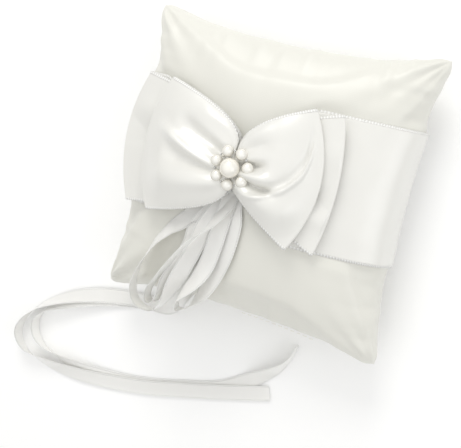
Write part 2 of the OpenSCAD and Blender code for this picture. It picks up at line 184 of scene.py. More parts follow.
# Satin ribbon: warp floats along its length, and a firm woven selvedge of small ticks. Each raised tick is
# painted near white, a painted highlight, so the edge shows as a bright ticked line. The ticks are drawn coarser
# than they are, so that they show. Glow is how much light a thin ribbon lets through.
def satin_ribbon(name, colour, half_width, selvedge, tick, roughness, glow):
    made, tree = new_material(name)
    uv = add(tree, "ShaderNodeUVMap", uv_map="UVMap").outputs["UV"]
    split = add(tree, "ShaderNodeSeparateXYZ", {"Vector": uv})
    across = add(tree, "ShaderNodeMath", {0: split.outputs["Y"]}, operation="ABSOLUTE")
    inner = half_width - selvedge
    edge = add(tree, "ShaderNodeMapRange", {
        "Value": across.outputs[0], "From Min": inner - 0.0002, "From Max": inner + 0.0001})
    cloudy = add(tree, "ShaderNodeTexNoise", {"Vector": uv, "Scale": 30.0, "Detail": 3.0})
    body = add(tree, "ShaderNodeMix", {
        "Factor": cloudy.outputs["Fac"], 6: rgba(colour), 7: rgba(colour, RIBBON_SHADE)}, data_type="RGBA")
    ticks = add(tree, "ShaderNodeTexWave", {"Vector": uv, "Scale": bands(tick)}, bands_direction="X")
    # The selvedge: its woven ticks, with a painted highlight on each raised tick and the ribbon's darkest tone
    # between them.
    selvedge_ticks_and_highlight = add(tree, "ShaderNodeMix", {
        "Factor": ticks.outputs["Fac"], 6: rgba(colour, RIBBON_SHADE), 7: rgba(linear("#fdfdfb"))},
        data_type="RGBA")
    whole = add(tree, "ShaderNodeMix", {
        "Factor": edge.outputs[0], 6: body.outputs[2], 7: selvedge_ticks_and_highlight.outputs[2]}, data_type="RGBA")
    ticked = add(tree, "ShaderNodeMath", {0: ticks.outputs["Fac"], 1: edge.outputs[0]}, operation="MULTIPLY")
    # The floats are far finer than shows, so they are drawn 0.5 mm apart and shallow.
    floats = add(tree, "ShaderNodeTexWave", {"Vector": uv, "Scale": bands(0.0005), "Distortion": 1.0},
                 bands_direction="Y")
    faint = add(tree, "ShaderNodeMath", {0: floats.outputs["Fac"], 1: 0.04}, operation="MULTIPLY")
    raised = add(tree, "ShaderNodeMath", {0: edge.outputs[0], 1: 0.6, 2: faint.outputs[0]},
                 operation="MULTIPLY_ADD")
    height = add(tree, "ShaderNodeMath", {0: ticked.outputs[0], 1: raised.outputs[0]}, operation="ADD")
    bump = add(tree, "ShaderNodeBump", {"Height": height.outputs[0], "Strength": 0.7, "Distance": 0.0004})
    rough = add(tree, "ShaderNodeMapRange", {"Value": edge.outputs[0], "To Min": roughness, "To Max": 0.6})
    shader = add(tree, "ShaderNodeBsdfPrincipled", {
        "Base Color": whole.outputs[2], "Roughness": rough.outputs[0], "Normal": bump.outputs[0],
        "IOR": 1.7, "Specular IOR Level": 1.0, "Sheen Weight": 0.1, "Sheen Roughness": 0.35,
        "Subsurface Weight": glow, "Subsurface Radius": (0.002, 0.002, 0.002), "Subsurface Scale": 1.0})
    end_material(tree, shader)
    return made


# Satin ribbon folded in three for the knot's wrap: no selvedge shows, only a soft lengthwise grain.
def folded_ribbon(sizes):
    made, tree = new_material("folded_satin_ribbon")
    place = add(tree, "ShaderNodeTexCoord").outputs["Object"]
    grain = add(tree, "ShaderNodeTexWave", {"Vector": place, "Scale": bands(0.0009), "Distortion": 2.0},
                bands_direction="X")
    bump = add(tree, "ShaderNodeBump", {"Height": grain.outputs["Fac"], "Strength": 0.25, "Distance": 0.0002})
    shade = add(tree, "ShaderNodeMix", {
        "Factor": grain.outputs["Fac"], 6: rgba(sizes.ribbon_colour),
        7: rgba(sizes.ribbon_colour, RIBBON_SHADE)}, data_type="RGBA")
    shader = add(tree, "ShaderNodeBsdfPrincipled", {
        "Base Color": shade.outputs[2], "Roughness": 0.4, "Normal": bump.outputs[0], "Sheen Weight": 0.2})
    end_material(tree, shader)
    return made


# Spun polyester thread: two plies twisted, matt beside the satin. Each ply's raised top is painted lighter and
# the groove between plies darker, painted light and shade along the twist.
def sewing_thread():
    made, tree = new_material("spun_polyester_thread")
    place = add(tree, "ShaderNodeTexCoord").outputs["Object"]
    turned = add(tree, "ShaderNodeMapping", {"Vector": place, "Rotation": (0.0, 0.6, 0.7)})
    twist = add(tree, "ShaderNodeTexWave", {"Vector": turned.outputs[0], "Scale": bands(0.0004)})
    # Painted light and shade along the twist: lighter on the plies' raised tops, darker in the grooves between.
    shade = add(tree, "ShaderNodeMix", {
        "Factor": twist.outputs["Fac"], 6: rgba(linear("#efede6")), 7: rgba(linear("#fbfaf6"))},
        data_type="RGBA")
    bump = add(tree, "ShaderNodeBump", {"Height": twist.outputs["Fac"], "Strength": 0.6, "Distance": 0.0001})
    shader = add(tree, "ShaderNodeBsdfPrincipled", {
        "Base Color": shade.outputs[2], "Roughness": 0.75, "Normal": bump.outputs[0], "Sheen Weight": 0.3})
    end_material(tree, shader)
    return made


# Coated acrylic pearl: thin mica layers over a moulded bead, a soft body colour below a clear gloss. The colour
# is made darker towards the pearl's rim as seen, which is painted shade.
def coated_pearl(name, low, high):
    made, tree = new_material(name)
    place = add(tree, "ShaderNodeTexCoord").outputs["Object"]
    # The bloom's patches are about 4 mm across.
    bloom = add(tree, "ShaderNodeTexNoise", {"Vector": place, "Scale": 260.0, "Detail": 2.0})
    # Painted shade: the colour darkens towards the pearl's rim as the camera sees it, with the bloom's patches
    # mixed in.
    facing = add(tree, "ShaderNodeLayerWeight", {"Blend": 0.35})
    part = add(tree, "ShaderNodeMath", {0: bloom.outputs["Fac"], 1: 0.35, 2: facing.outputs["Facing"]},
               operation="MULTIPLY_ADD", use_clamp=True)
    shade = add(tree, "ShaderNodeMix", {
        "Factor": part.outputs[0], 6: rgba(linear(high)), 7: rgba(linear(low))}, data_type="RGBA")
    # The coat pools a little, in bumps about 0.8 mm across.
    pooled = add(tree, "ShaderNodeTexNoise", {"Vector": place, "Scale": 1 / 0.0008})
    bump = add(tree, "ShaderNodeBump", {"Height": pooled.outputs["Fac"], "Strength": 0.04, "Distance": 0.0001})
    shader = add(tree, "ShaderNodeBsdfPrincipled", {
        "Base Color": shade.outputs[2], "Metallic": 0.15, "Roughness": 0.2, "Normal": bump.outputs[0],
        "IOR": 1.6, "Coat Weight": 1.0, "Coat Roughness": 0.04})
    end_material(tree, shader)
    return made


# Clear pressed-glass bead: polished, with a silver-lined hole that brightens it.
def clear_bead():
    made, tree = new_material("clear_pressed_glass")
    place = add(tree, "ShaderNodeTexCoord").outputs["Object"]
    pressed = add(tree, "ShaderNodeTexNoise", {"Vector": place, "Scale": 900.0})
    bump = add(tree, "ShaderNodeBump", {"Height": pressed.outputs["Fac"], "Strength": 0.2, "Distance": 0.0001})
    rough = add(tree, "ShaderNodeMapRange", {"Value": pressed.outputs["Fac"], "To Min": 0.03, "To Max": 0.12})
    shader = add(tree, "ShaderNodeBsdfPrincipled", {
        "Base Color": rgba(linear("#fbfbfa")), "Roughness": rough.outputs[0], "Normal": bump.outputs[0],
        "IOR": 1.52, "Transmission Weight": 0.6})
    end_material(tree, shader)
    return made


# Silver-plated brass: a bright plate, worn a little duller and darker in patches.
def silver_plate():
    made, tree = new_material("silver_plated_brass")
    place = add(tree, "ShaderNodeTexCoord").outputs["Object"]
    worn = add(tree, "ShaderNodeTexNoise", {"Vector": place, "Scale": 400.0, "Detail": 4.0})
    shade = add(tree, "ShaderNodeMix", {
        "Factor": worn.outputs["Fac"], 6: rgba(linear("#c9c6bf")), 7: rgba(linear("#efeeea"))},
        data_type="RGBA")
    rough = add(tree, "ShaderNodeMapRange", {"Value": worn.outputs["Fac"], "To Min": 0.16, "To Max": 0.34})
    bump = add(tree, "ShaderNodeBump", {"Height": worn.outputs["Fac"], "Strength": 0.1, "Distance": 0.0001})
    shader = add(tree, "ShaderNodeBsdfPrincipled", {
        "Base Color": shade.outputs[2], "Metallic": 1.0, "Roughness": rough.outputs[0],
        "Normal": bump.outputs[0]})
    end_material(tree, shader)
    return made


MATERIALS = {}


def finish_named(name, sizes):
    """The material of that name, made once."""
    if name not in MATERIALS:
        MATERIALS[name] = {
            "cover": lambda: cover_satin(sizes),
            "wide": lambda: satin_ribbon("wide_satin_ribbon", sizes.ribbon_colour, WIDE_W / 2000,
                                         sizes.wide_selvedge, 0.0016, 0.32, 0.0),
            "narrow": lambda: satin_ribbon("narrow_satin_ribbon", linear("#faf9f5"), RIBBON_W / 2000,
                                           sizes.narrow_selvedge, 0.0010, 0.36, 0.3),
            "folded": lambda: folded_ribbon(sizes),
            "thread": sewing_thread,
            # A pearl's first colour is its rim's painted shade and its bloom's darker tone, the second its own
            # colour.
            "centre_pearl": lambda: coated_pearl("coated_acrylic_centre_pearl", "#e2dccd", "#fdfbf5"),
            "ring_pearl": lambda: coated_pearl("coated_acrylic_ring_pearl", "#d9d4c7", "#fdfcf8"),
            "bead": clear_bead,
            "silver": silver_plate,
        }[name]()
    return MATERIALS[name]


def dress(node, name, sizes):
    """Gives one of the frame's pieces its material."""
    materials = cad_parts[node].data.materials
    materials.clear()
    materials.append(finish_named(name, sizes))


# ---- meshes ----
def to_object(bm, name, material):
    """Ends a bmesh as an object whose place is in its mesh."""
    mesh = bpy.data.meshes.new(name)
    bm.to_mesh(mesh)
    bm.free()
    mesh.materials.append(material)
    mesh.shade_smooth()
    made = bpy.data.objects.new(name, mesh)
    bpy.context.scene.collection.objects.link(made)
    return made


def cloth_grid(name, along, across, place, length, width, material, thickness):
    """A sheet of cloth. place gives a point in millimetres from two shares, along and across it."""
    bm = bmesh.new()
    bmesh.ops.create_grid(bm, x_segments=along, y_segments=across, size=1.0)
    shares = {v: ((v.co.x + 1) / 2, (v.co.y + 1) / 2) for v in bm.verts}
    layer = bm.loops.layers.uv.new("UVMap")
    for face in bm.faces:
        for loop in face.loops:
            s, t = shares[loop.vert]
            loop[layer].uv = (s * length / 1000, (t - 0.5) * width / 1000)
    for vert, (s, t) in shares.items():
        vert.co = Vector(place(s, t)) / 1000
    made = to_object(bm, name, material)
    wall = made.modifiers.new("Cloth thickness", "SOLIDIFY")
    wall.thickness = thickness / 1000
    wall.offset = 0.0
    return made


# ---- the cushion's shape, in millimetres ----
MOST_OUT, MOST_IN = 0.0012, 0.002       # how far the solver may move the cover out and in, in metres
EVEN_PASSES = 30                # how often that is evened out
PUCKER_RISE = 2.4               # how high the seam's gathers stand
PUCKER_REACH = 13.0             # how far they run in from the seam
CORNER_CLEAR = 25               # how far from a corner they start
FOLD_RISE, FOLD_REACH = 3.2, 26         # the same for the folds at the corners, as a share of the gathers' rise
SCALLOP_SIDES, SCALLOP_ENDS = 1.1, 1.6  # how far the seam wanders in
SCALLOP_REACH = 5.0
SCALLOP_CLEAR = 18              # how far from a corner it starts to
SEWN_CLEAR = 8                  # it's straight this far past the closing stitches
HELD_IN = 0.3                   # how far the band holds the cushion in
CORNER_TURN = 10.0              # where a corner's rounding starts, from its tip
CORNER_ROUND = 0.85             # how round it is, where 1 is an arc


def swell(ca, cb, sizes):
    """The share of the crown's height from the two shares of the way to the seam."""
    return max(0.0, ca * cb) ** sizes.fullness


def settle(x, y, sizes):
    """The two shares across a panel that stand over a point."""
    sa, sb = clip(x / HALF), clip(y / HALF)
    for _ in range(8):
        sa, sb = (clip(x / (HALF - sizes.side_pull * (1 - sb * sb))),
                  clip(y / (HALF - sizes.side_pull * (1 - sa * sa))))
    return sa, sb


def front_z(x, y, sizes):
    sa, sb = settle(x, y, sizes)
    return SEAM + CROWN * swell(math.sqrt(1 - sa * sa), math.sqrt(1 - sb * sb), sizes)


def panel_point(sa, sb, front, sizes):
    """A point of the cover from its two shares, -1 to 1."""
    ca, cb = math.sqrt(max(0.0, 1 - sa * sa)), math.sqrt(max(0.0, 1 - sb * sb))
    x = sa * (HALF - sizes.side_pull * cb * cb)
    y = sb * (HALF - sizes.side_pull * ca * ca)
    s = swell(ca, cb, sizes)
    return Vector((x, y, SEAM + CROWN * s if front else max(BACK_LOW, SEAM - sizes.back_depth * s)))


def puckers(along, seed):
    """Gathers along a seam, from -1 to 1."""
    slow = noise.noise(Vector((along * 0.035, seed, 0.0)))
    fast = noise.noise(Vector((along * 0.11 + slow * 2.0, seed + 7.0, 0.0)))
    fine = noise.noise(Vector((along * 0.25, seed + 13.0, 3.0)))
    return fast * 1.3 + fine * 0.35 + slow * 0.3


def inflate(piece, sizes, pinned):
    """Blows the cover up with the cloth solver, and returns where its points go."""
    group = piece.vertex_groups.new(name="seam")
    group.add(pinned, 1.0, "REPLACE")
    cloth = piece.modifiers.new("Cloth", "CLOTH")
    rule = cloth.settings
    rule.quality = 5
    rule.mass = 0.1
    rule.tension_stiffness = 20
    rule.compression_stiffness = 20
    rule.shear_stiffness = 8
    rule.bending_stiffness = 0.08
    rule.use_pressure = True
    rule.uniform_pressure_force = sizes.cushion_pressure
    rule.shrink_min = -sizes.cover_ease
    rule.vertex_group_mass = "seam"
    rule.effector_weights.gravity = 0.0
    cloth.collision_settings.use_collision = False
    cloth.point_cache.frame_start = 1
    cloth.point_cache.frame_end = sizes.cushion_frames
    scene = bpy.context.scene
    for f in range(1, sizes.cushion_frames + 1):
        scene.frame_set(f)
    shaped = piece.evaluated_get(bpy.context.evaluated_depsgraph_get())
    moved = np.zeros(len(shaped.data.vertices) * 3)
    shaped.data.vertices.foreach_get("co", moved)
    piece.modifiers.remove(cloth)
    piece.vertex_groups.remove(group)
    scene.frame_set(1)
    return moved.reshape(-1, 3)


# ---- sizes a user may change ----
class PillowSizes(bpy.types.PropertyGroup):
    side_pull: FloatProperty(
        name="Side pull", description="How far the middle of each side is pulled in, in millimetres",
        default=8.5, min=4, max=12)
    fullness: FloatProperty(
        name="Fullness", description="Shape of the crown, where 1 is elliptical and less is fuller",
        default=0.75, min=0.6, max=1.0, subtype="FACTOR")
    back_depth: FloatProperty(
        name="Back depth", description="Depth of the back before the table flattens it, in millimetres",
        default=30, min=27, max=38)
    cover_ease: FloatProperty(
        name="Cover ease", description="Spare cloth in the cover, as a share of its size",
        default=0.035, min=0.0, max=0.08, subtype="FACTOR")
    cushion_pressure: FloatProperty(
        name="Filling pressure", description="How hard the filling pushes the cover out",
        default=4.0, min=0, max=10)
    cushion_frames: IntProperty(
        name="Filling steps", description="Steps that the cloth solver takes", default=20, min=5, max=40)
    wide_selvedge: FloatProperty(
        name="Wide selvedge", description="Width of the woven edge of the wide ribbon",
        default=0.0013, min=0.0005, max=0.003, subtype="DISTANCE", unit="LENGTH")
    narrow_selvedge: FloatProperty(
        name="Narrow selvedge", description="Width of the woven edge of the narrow ribbon",
        default=0.0008, min=0.0003, max=0.002, subtype="DISTANCE", unit="LENGTH")
    ribbon_thickness: FloatProperty(
        name="Ribbon thickness", description="Thickness of the ribbons, in millimetres",
        default=0.28, min=0.15, max=0.6)
    cover_colour: FloatVectorProperty(
        name="Cover colour", description="Colour of the satin cover", subtype="COLOR", size=3,
        default=linear("#e4e3db"), min=0.0, max=1.0)
    ribbon_colour: FloatVectorProperty(
        name="Ribbon colour", description="Colour of the satin ribbons", subtype="COLOR", size=3,
        default=linear("#ebeae5"), min=0.0, max=1.0)


# ---- cushion ----
class PILLOW_OT_cushion(bpy.types.Operator):
    """Make the stuffed satin cushion, with gathers at its seam and a waist under the wide band"""
    bl_idname = "pillow.cushion"
    bl_label = "Cushion"

    def execute(self, context):
        sizes = context.scene.pillow
        cells = 92
        bm = bmesh.new()
        for front in (True, False):
            made = bmesh.ops.create_grid(bm, x_segments=cells, y_segments=cells, size=1.0)["verts"]
            for vert in made:
                u, v = vert.co.x, vert.co.y
                # cells are finer towards the seam
                sa = 0.6 * math.sin(u * math.pi / 2) + 0.4 * u
                sb = 0.6 * math.sin(v * math.pi / 2) + 0.4 * v
                vert.co = panel_point(sa, sb, front, sizes) / 1000
        bmesh.ops.remove_doubles(bm, verts=bm.verts, dist=2e-6)
        bmesh.ops.recalc_face_normals(bm, faces=bm.faces)
        bm.verts.index_update()
        seam = [v.index for v in bm.verts if abs(v.co.z - SEAM / 1000) < 1e-6]
        cushion = to_object(bm, "cushion", finish_named("cover", sizes))
        mesh = cushion.data
        start = np.array([v.co for v in mesh.vertices])
        normals = np.array([v.normal for v in mesh.vertices])
        moved = start.copy()
        moved = inflate(cushion, sizes, seam)
        out = self.evened(mesh, ((moved - start) * normals).sum(1))
        out = np.where(out > 0, MOST_OUT * np.tanh(out / MOST_OUT), MOST_IN * np.tanh(out / MOST_IN))
        moved = start + normals * out[:, None]
        for i, vert in enumerate(mesh.vertices):
            vert.co = self.gathered(Vector(moved[i]) * 1000, Vector(start[i]) * 1000,
                                    Vector(normals[i]), sizes) / 1000
        mesh.update()
        smooth = cushion.modifiers.new("Cloth surface", "SUBSURF")
        smooth.levels = smooth.render_levels = 1
        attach(cushion, "cushion")
        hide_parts("front_panel", "back_panel", "fibre_filling")
        return {"FINISHED"}

    def evened(self, mesh, values):
        """Values at the mesh's points, evened out with their neighbours' so that the cloth lies smoothly."""
        ends = np.zeros(len(mesh.edges) * 2, int)
        mesh.edges.foreach_get("vertices", ends)
        a, b = ends.reshape(-1, 2).T
        count = np.bincount(a, minlength=len(values)) + np.bincount(b, minlength=len(values))
        for _ in range(EVEN_PASSES):
            near = (np.bincount(a, values[b], len(values)) + np.bincount(b, values[a], len(values))) / count
            values = 0.5 * values + 0.5 * near
        return values

    def gathered(self, p, start, normal, sizes):
        """Adds the gathers at the seam and the waist under the band to a point."""
        sa, sb = settle(start.x, start.y, sizes)
        from_side = HALF * (1 - abs(sa))
        from_end = HALF * (1 - abs(sb))
        centre, half = band_line(start.x) if start.z > SEAM else (BAND_Y, WIDE_W / 2)
        # the waist is full 2 mm inside the band's edge, and gone 6 mm outside it
        under_band = 1 - ease(half - 2, half + 6, abs(start.y - centre))
        free = 1 - under_band
        side_pucker = puckers(start.y, 1.0 if start.x > 0 else 21.0) * math.exp(-from_side / PUCKER_REACH)
        end_pucker = puckers(start.x, 41.0 if start.y > 0 else 61.0) * math.exp(-from_end / PUCKER_REACH)
        # the back's gathers fade out where it lies flat
        flat = 1.0 if start.z > SEAM - 1 else ease(BACK_LOW, SEAM * 0.4, start.z)
        near_seam = min(from_side, from_end)
        lift = side_pucker * ease(0, CORNER_CLEAR, from_end) + end_pucker * ease(0, CORNER_CLEAR, from_side)
        lift *= ease(-1.0, 6.0, near_seam)
        # folds that run out from each corner
        corner = Vector((math.copysign(HALF, start.x), math.copysign(HALF, start.y)))
        dx, dy = start.x - corner.x, start.y - corner.y
        away, turned = math.hypot(dx, dy), math.atan2(abs(dy), abs(dx) + 1e-6)
        fold = noise.noise(Vector((turned * 4.2, corner.x * 0.3, corner.y * 0.7)))
        lift += FOLD_RISE * (fold * ease(3, 16, away) * math.exp(-away / FOLD_REACH))
        p = p + normal * (PUCKER_RISE * lift * free * flat)
        # scalloped edge: the seam wanders a little in the face's plane, but not where it's sewn up by hand
        rim = math.exp(-near_seam / SCALLOP_REACH) * free
        scallop = clip(sa * 4) * rim * SCALLOP_SIDES * (0.5 + 0.5 * puckers(start.y, 5.0))
        p.x -= scallop * ease(0, SCALLOP_CLEAR, from_end)
        low, high = STITCHED[0].x, STITCHED[1].x
        sewn = 0.0
        if start.y < 0:
            sewn = ease(low - SEWN_CLEAR, low, start.x) * (1 - ease(high, high + SEWN_CLEAR, start.x))
        scallop = (1 - sewn) * clip(sb * 4) * rim * SCALLOP_ENDS * (0.5 + 0.5 * puckers(start.x, 9.0))
        p.y -= scallop * ease(0, SCALLOP_CLEAR, from_side)
        p = p.lerp(start - normal * HELD_IN, under_band)
        # the corners are turned with a small radius
        inner = HALF - CORNER_TURN
        dx, dy = abs(p.x) - inner, abs(p.y) - inner
        if dx > 0 and dy > 0:
            k = mix(1.0, max(dx, dy) / math.hypot(dx, dy), CORNER_ROUND)
            p.x = math.copysign(inner + dx * k, p.x)
            p.y = math.copysign(inner + dy * k, p.y)
        p.z = max(p.z, BACK_LOW)
        return p


# ---- wide band ----
BAND_OFF = 0.55                 # the band's middle above the cushion
LAP_RISE = 0.75                 # the upper end's above the lower one's, where they lap
TABLE_OFF = 0.15                # the band's middle above the table


def band_line(x):
    """The wide band's middle height and half width on the front. It's gathered to the knot under the bow."""
    opened = min(1.0, abs(x - KNOT.x) / GATHER_REACH[-1 if x < KNOT.x else 1])
    return mix(KNOT.y, BAND_Y, opened), mix(PINCH, WIDE_W / 2, opened ** BAND_GATHER)


def ring_length(sizes, steps):
    """The length of the band's middle line, right round the cushion."""
    points = [section_point(k / steps, 0.0, 0.0, sizes) for k in range(steps + 1)]
    return sum((b - a).length for a, b in zip(points, points[1:]))


def section_point(share, y, off, sizes):
    """A point round the cushion at a height up its face. It starts at the left seam and goes over the front."""
    turn = share % 1.0
    front = turn < 0.5
    u = -1 + 4 * turn if front else 3 - 4 * turn
    sa = math.sin(u * math.pi / 2)
    sb = (BAND_Y + y) / (HALF - sizes.side_pull * (1 - sa * sa))
    ca, cb = math.sqrt(max(0.0, 1 - sa * sa)), math.sqrt(1 - sb * sb)
    s = swell(ca, cb, sizes)
    x = sa * (HALF + off - sizes.side_pull * cb * cb)
    if front:
        return Vector((x, BAND_Y + y, SEAM + (CROWN + off) * s))
    return Vector((x, BAND_Y + y, max(TABLE_OFF, SEAM - (sizes.back_depth + off) * s)))


class PILLOW_OT_wide_band(bpy.types.Operator):
    """Wrap the wide ribbon round the cushion, with its ends overlapping under the bow"""
    bl_idname = "pillow.wide_band"
    bl_label = "Wide band"

    def execute(self, context):
        sizes = context.scene.pillow
        steps = 400
        ring = ring_length(sizes, steps)
        overlap_low, overlap_high = box("band_overlap")
        lap = overlap_high.x - overlap_low.x
        # where on the ring the overlap's two edges lie
        xs = [section_point(k / steps / 2, 0.0, 0.0, sizes).x for k in range(steps)]
        left = next(k for k, x in enumerate(xs) if x > overlap_low.x) / steps / 2
        right = next(k for k, x in enumerate(xs) if x > overlap_high.x) / steps / 2
        whole = 1.0 + right - left

        def place(s, t):
            turn = left + s * whole
            y = (t - 0.5) * WIDE_W
            off = BAND_OFF + LAP_RISE * ease(1.0 - 0.03, 1.0, turn - left)
            if turn % 1.0 >= 0.5:
                return section_point(turn, y, off, sizes)
            centre, half = band_line(section_point(turn, y, off, sizes).x)
            y = centre - BAND_Y + (2 * t - 1) * half
            p = section_point(turn, y, off, sizes)
            p.z += 0.7 * math.sin(t * 36) * (1 - half / WIDE_W * 2)     # about six small gathers
            # soft lengthwise ripples that start under the bow, and the shallow dip where its right loop presses
            near = math.exp(-abs(p.x - KNOT.x) / 38)
            ripple = noise.noise(Vector((turn * 6.0, y * 0.07, 2.0)))
            dip = math.exp(-((p.x - 60 - y * 0.12) / 6.0) ** 2)
            p.z += max(-0.2, ripple * (0.5 + 1.2 * near) - 0.5 * dip)
            return p

        band = cloth_grid("wide_band_ribbon", 420, 36, place, ring + lap, WIDE_W,
                          finish_named("wide", sizes), sizes.ribbon_thickness)
        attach(band, "cushion")
        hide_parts("wide_band", "band_overlap")
        return {"FINISHED"}


# ---- bow ----
# A fold is: share up the ribbon at the knot, at the loop's end, half width at each, height, how far it runs
FOLDS = {
    ("upper", 1): [(0.08, 0.25, 0.10, 0.10, -5.5, 0.48), (-0.14, -0.06, 0.12, 0.17, 2.6, 0.62),
                   (-0.40, -0.30, 0.08, 0.09, -4.5, 0.66), (-0.68, -0.55, 0.18, 0.26, 2.2, 0.97),
                   (0.50, 0.55, 0.12, 0.16, -1.6, 0.55), (0.80, 0.85, 0.1, 0.2, 1.0, 0.5)],
    ("upper", -1): [(-0.20, 0.42, 0.07, 0.10, 3.2, 0.92), (0.24, 0.64, 0.12, 0.18, -4.2, 0.72),
                    (0.20, 0.30, 0.07, 0.08, -3.2, 0.30), (-0.16, -0.02, 0.10, 0.20, -3.4, 0.80),
                    (-0.50, -0.45, 0.16, 0.26, 2.6, 0.95), (0.85, 0.85, 0.1, 0.2, 1.2, 0.6)],
    ("lower", 1): [(-0.45, -0.5, 0.15, 0.16, 1.6, 1.2), (-0.15, -0.2, 0.12, 0.14, -1.4, 1.2),
                   (0.4, 0.45, 0.15, 0.2, 0.8, 1.2)],
    ("lower", -1): [(-0.1, 0.1, 0.15, 0.2, -1.4, 1.1), (0.45, 0.5, 0.15, 0.2, 1.2, 1.1)],
}
# The long crease of the right loop: where it lies up the ribbon, for how far out from the knot
CREASE_OUT = (0.10, 0.20, 0.42, 0.67, 0.82, 0.92)
CREASE_UP = (-0.85, -0.75, -0.52, -0.19, 0.10, 0.50)
# How fast the upper and the lower edge open out from the knot, where less is faster
RISE = {1: (0.42, 0.85), -1: (0.36, 0.45)}
# How much farther out a loop's middle reaches than its edges
BULGE = {("lower", -1): 9, ("lower", 1): 5, ("upper", -1): 10, ("upper", 1): 11}
PUFF = {"lower": (0.3, 5.0), "upper": (5.6, 7.6)}   # how high each layer starts, and its height
DROP = {-1: 16.0, 1: 4.0}       # how far the bow's underside drops from the knot to the lower loops' ends
BOW_LIFT = 2.6                  # the least height of the bow's underside above the cushion
FOLD_R = 0.8                    # radius of a loop's folded end
TURN_PART = 0.03                # half the share of a loop's length that its folded end takes
PLY_GAP = 0.3                   # the lower ply above the bow's underside


def bow_base(x, y, side, sizes):
    """The height of the bow's underside over a point."""
    away = abs(x - KNOT.x)
    line = BOW_Z - DROP[side] * away / REACH[("lower", side)]
    return max(front_z(x, y, sizes) + BOW_LIFT, line)


def fold_height(layer, side, s, t):
    """How high a layer's folds stand at a share out from the knot and a share up the ribbon, -1 to 1."""
    height = 0.0
    for t0, t1, w0, w1, tall, runs in FOLDS[(layer, side)]:
        centre, width = mix(t0, t1, s), mix(w0, w1, s)
        across = tall * math.exp(-((t - centre) / width) ** 2)
        height += across * (1 - ease(runs - 0.25, runs, s)) * ease(-0.02, 0.22, s)
    if (layer, side) == ("upper", 1):
        from_crease = t - float(np.interp(s, CREASE_OUT, CREASE_UP))
        shown = ease(0.15, 0.4, s) * (1 - ease(0.84, 0.97, s))
        ridge = 1.7 * math.exp(-(from_crease / 0.07) ** 2)
        hollow = 1.6 * math.exp(-((from_crease - 0.17) / 0.11) ** 2)
        height += shown * (ridge - hollow)
    return height


def bow_point(layer, side, w, t, sizes):
    """A point of one side of a bow layer. w goes out along the top ply, round the fold and back below."""
    low, puff = PUFF[layer]
    out_end, back_start = 0.5 - TURN_PART, 0.5 + TURN_PART
    if w < out_end:
        s, round_ = w / out_end, 0.0
    elif w > back_start:
        s, round_ = (1 - w) / out_end, 1.0
    else:
        s, round_ = 1.0, (w - out_end) / (2 * TURN_PART)
    top = w < out_end
    reach = REACH[(layer, side)] - BULGE[(layer, side)] * t * t - FOLD_R
    d = reach * s
    rise = RISE[side][0 if t > 0 else 1]
    half = PINCH + (WIDE_W / 2 - PINCH) * s ** rise
    y = mix(KNOT.y, BAND_Y, s) + t * half
    x = KNOT.x + side * d
    base = bow_base(x, y, side, sizes) + low
    under = base + PLY_GAP
    if round_ == 1.0:
        return Vector((x, y, under + 0.4 * (1 - s)))
    if not top:
        a = math.pi * (round_ - 0.5)
        return Vector((x + side * FOLD_R * math.cos(a), y, under + FOLD_R - FOLD_R * math.sin(a)))
    # the top ply arches up along the loop, and falls off at its edges and its end
    along = 0.42 + 0.58 * math.sin(math.pi * min(1.0, s * 1.05)) ** 0.8
    arch = (1 - 0.8 * abs(t) ** 5) * (1 - s ** 5) * along
    height = (puff - 2 * FOLD_R) * arch + fold_height(layer, side, s, t)
    height = max(0.25 * (1 - s ** 4), height)
    return Vector((x, y, under + 2 * FOLD_R + height))


class PILLOW_OT_bow(bpy.types.Operator):
    """Fold the two layers of wide ribbon into the bow's loops, gathered at the knot"""
    bl_idname = "pillow.bow"
    bl_label = "Bow"

    def execute(self, context):
        sizes = context.scene.pillow
        for layer in ("lower", "upper"):
            for side, word in ((-1, "left"), (1, "right")):
                length = 2 * REACH[(layer, side)]
                loop = cloth_grid(
                    f"{layer}_bow_{word}", 150, 80,
                    lambda s, t: bow_point(layer, side, s, 2 * t - 1, sizes), length, WIDE_W,
                    finish_named("wide", sizes), sizes.ribbon_thickness)
                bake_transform(loop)
                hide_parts(f"{layer}_loop_{word}", f"{layer}_bow_pinch")
        dress("bow_wrap", "folded", sizes)
        return {"FINISHED"}


# ---- narrow ribbon ----
# A route's point is (x, y, lift, tilt), with the lift above the cushion. Past the cushion's edge the lift is
# EDGE and the height above the seam as a share of the crown.
EDGE = 1000.0
TABLE_GAP = 0.25                # the tails' lower edge above the table
LAID_T = 0.6                    # thickness that a laid tail has room for
STACK = 0.75                    # one laid tail above the other
CUP, WAVE = 0.35, 0.18          # how far a ribbon is cupped and waved across
ROUTE_STEPS = 10                # points on the curve for each of a route's
CRISP = math.radians(60)        # sharper turns than this keep a crisp edge


def on_cushion(points, sizes):
    """A route over the cushion as points (x, y, z, tilt)."""
    out = []
    for x, y, lift, tilt in points:
        x, y = LAYOUT * x, LAYOUT * y
        z = SEAM + CROWN * (lift - EDGE) if lift >= EDGE else front_z(x, y, sizes) + lift
        out.append((x, y, z, tilt))
    return out


def on_table(points):
    """A route (x, y, tilt, place in the stack) on the table as points (x, y, z, tilt)."""
    return [(LAYOUT * x, LAYOUT * y,
             TABLE_GAP + (LAID_T + RIBBON_W * abs(math.sin(math.radians(tilt)))) / 2 + stack * STACK, tilt)
            for x, y, tilt, stack in points]


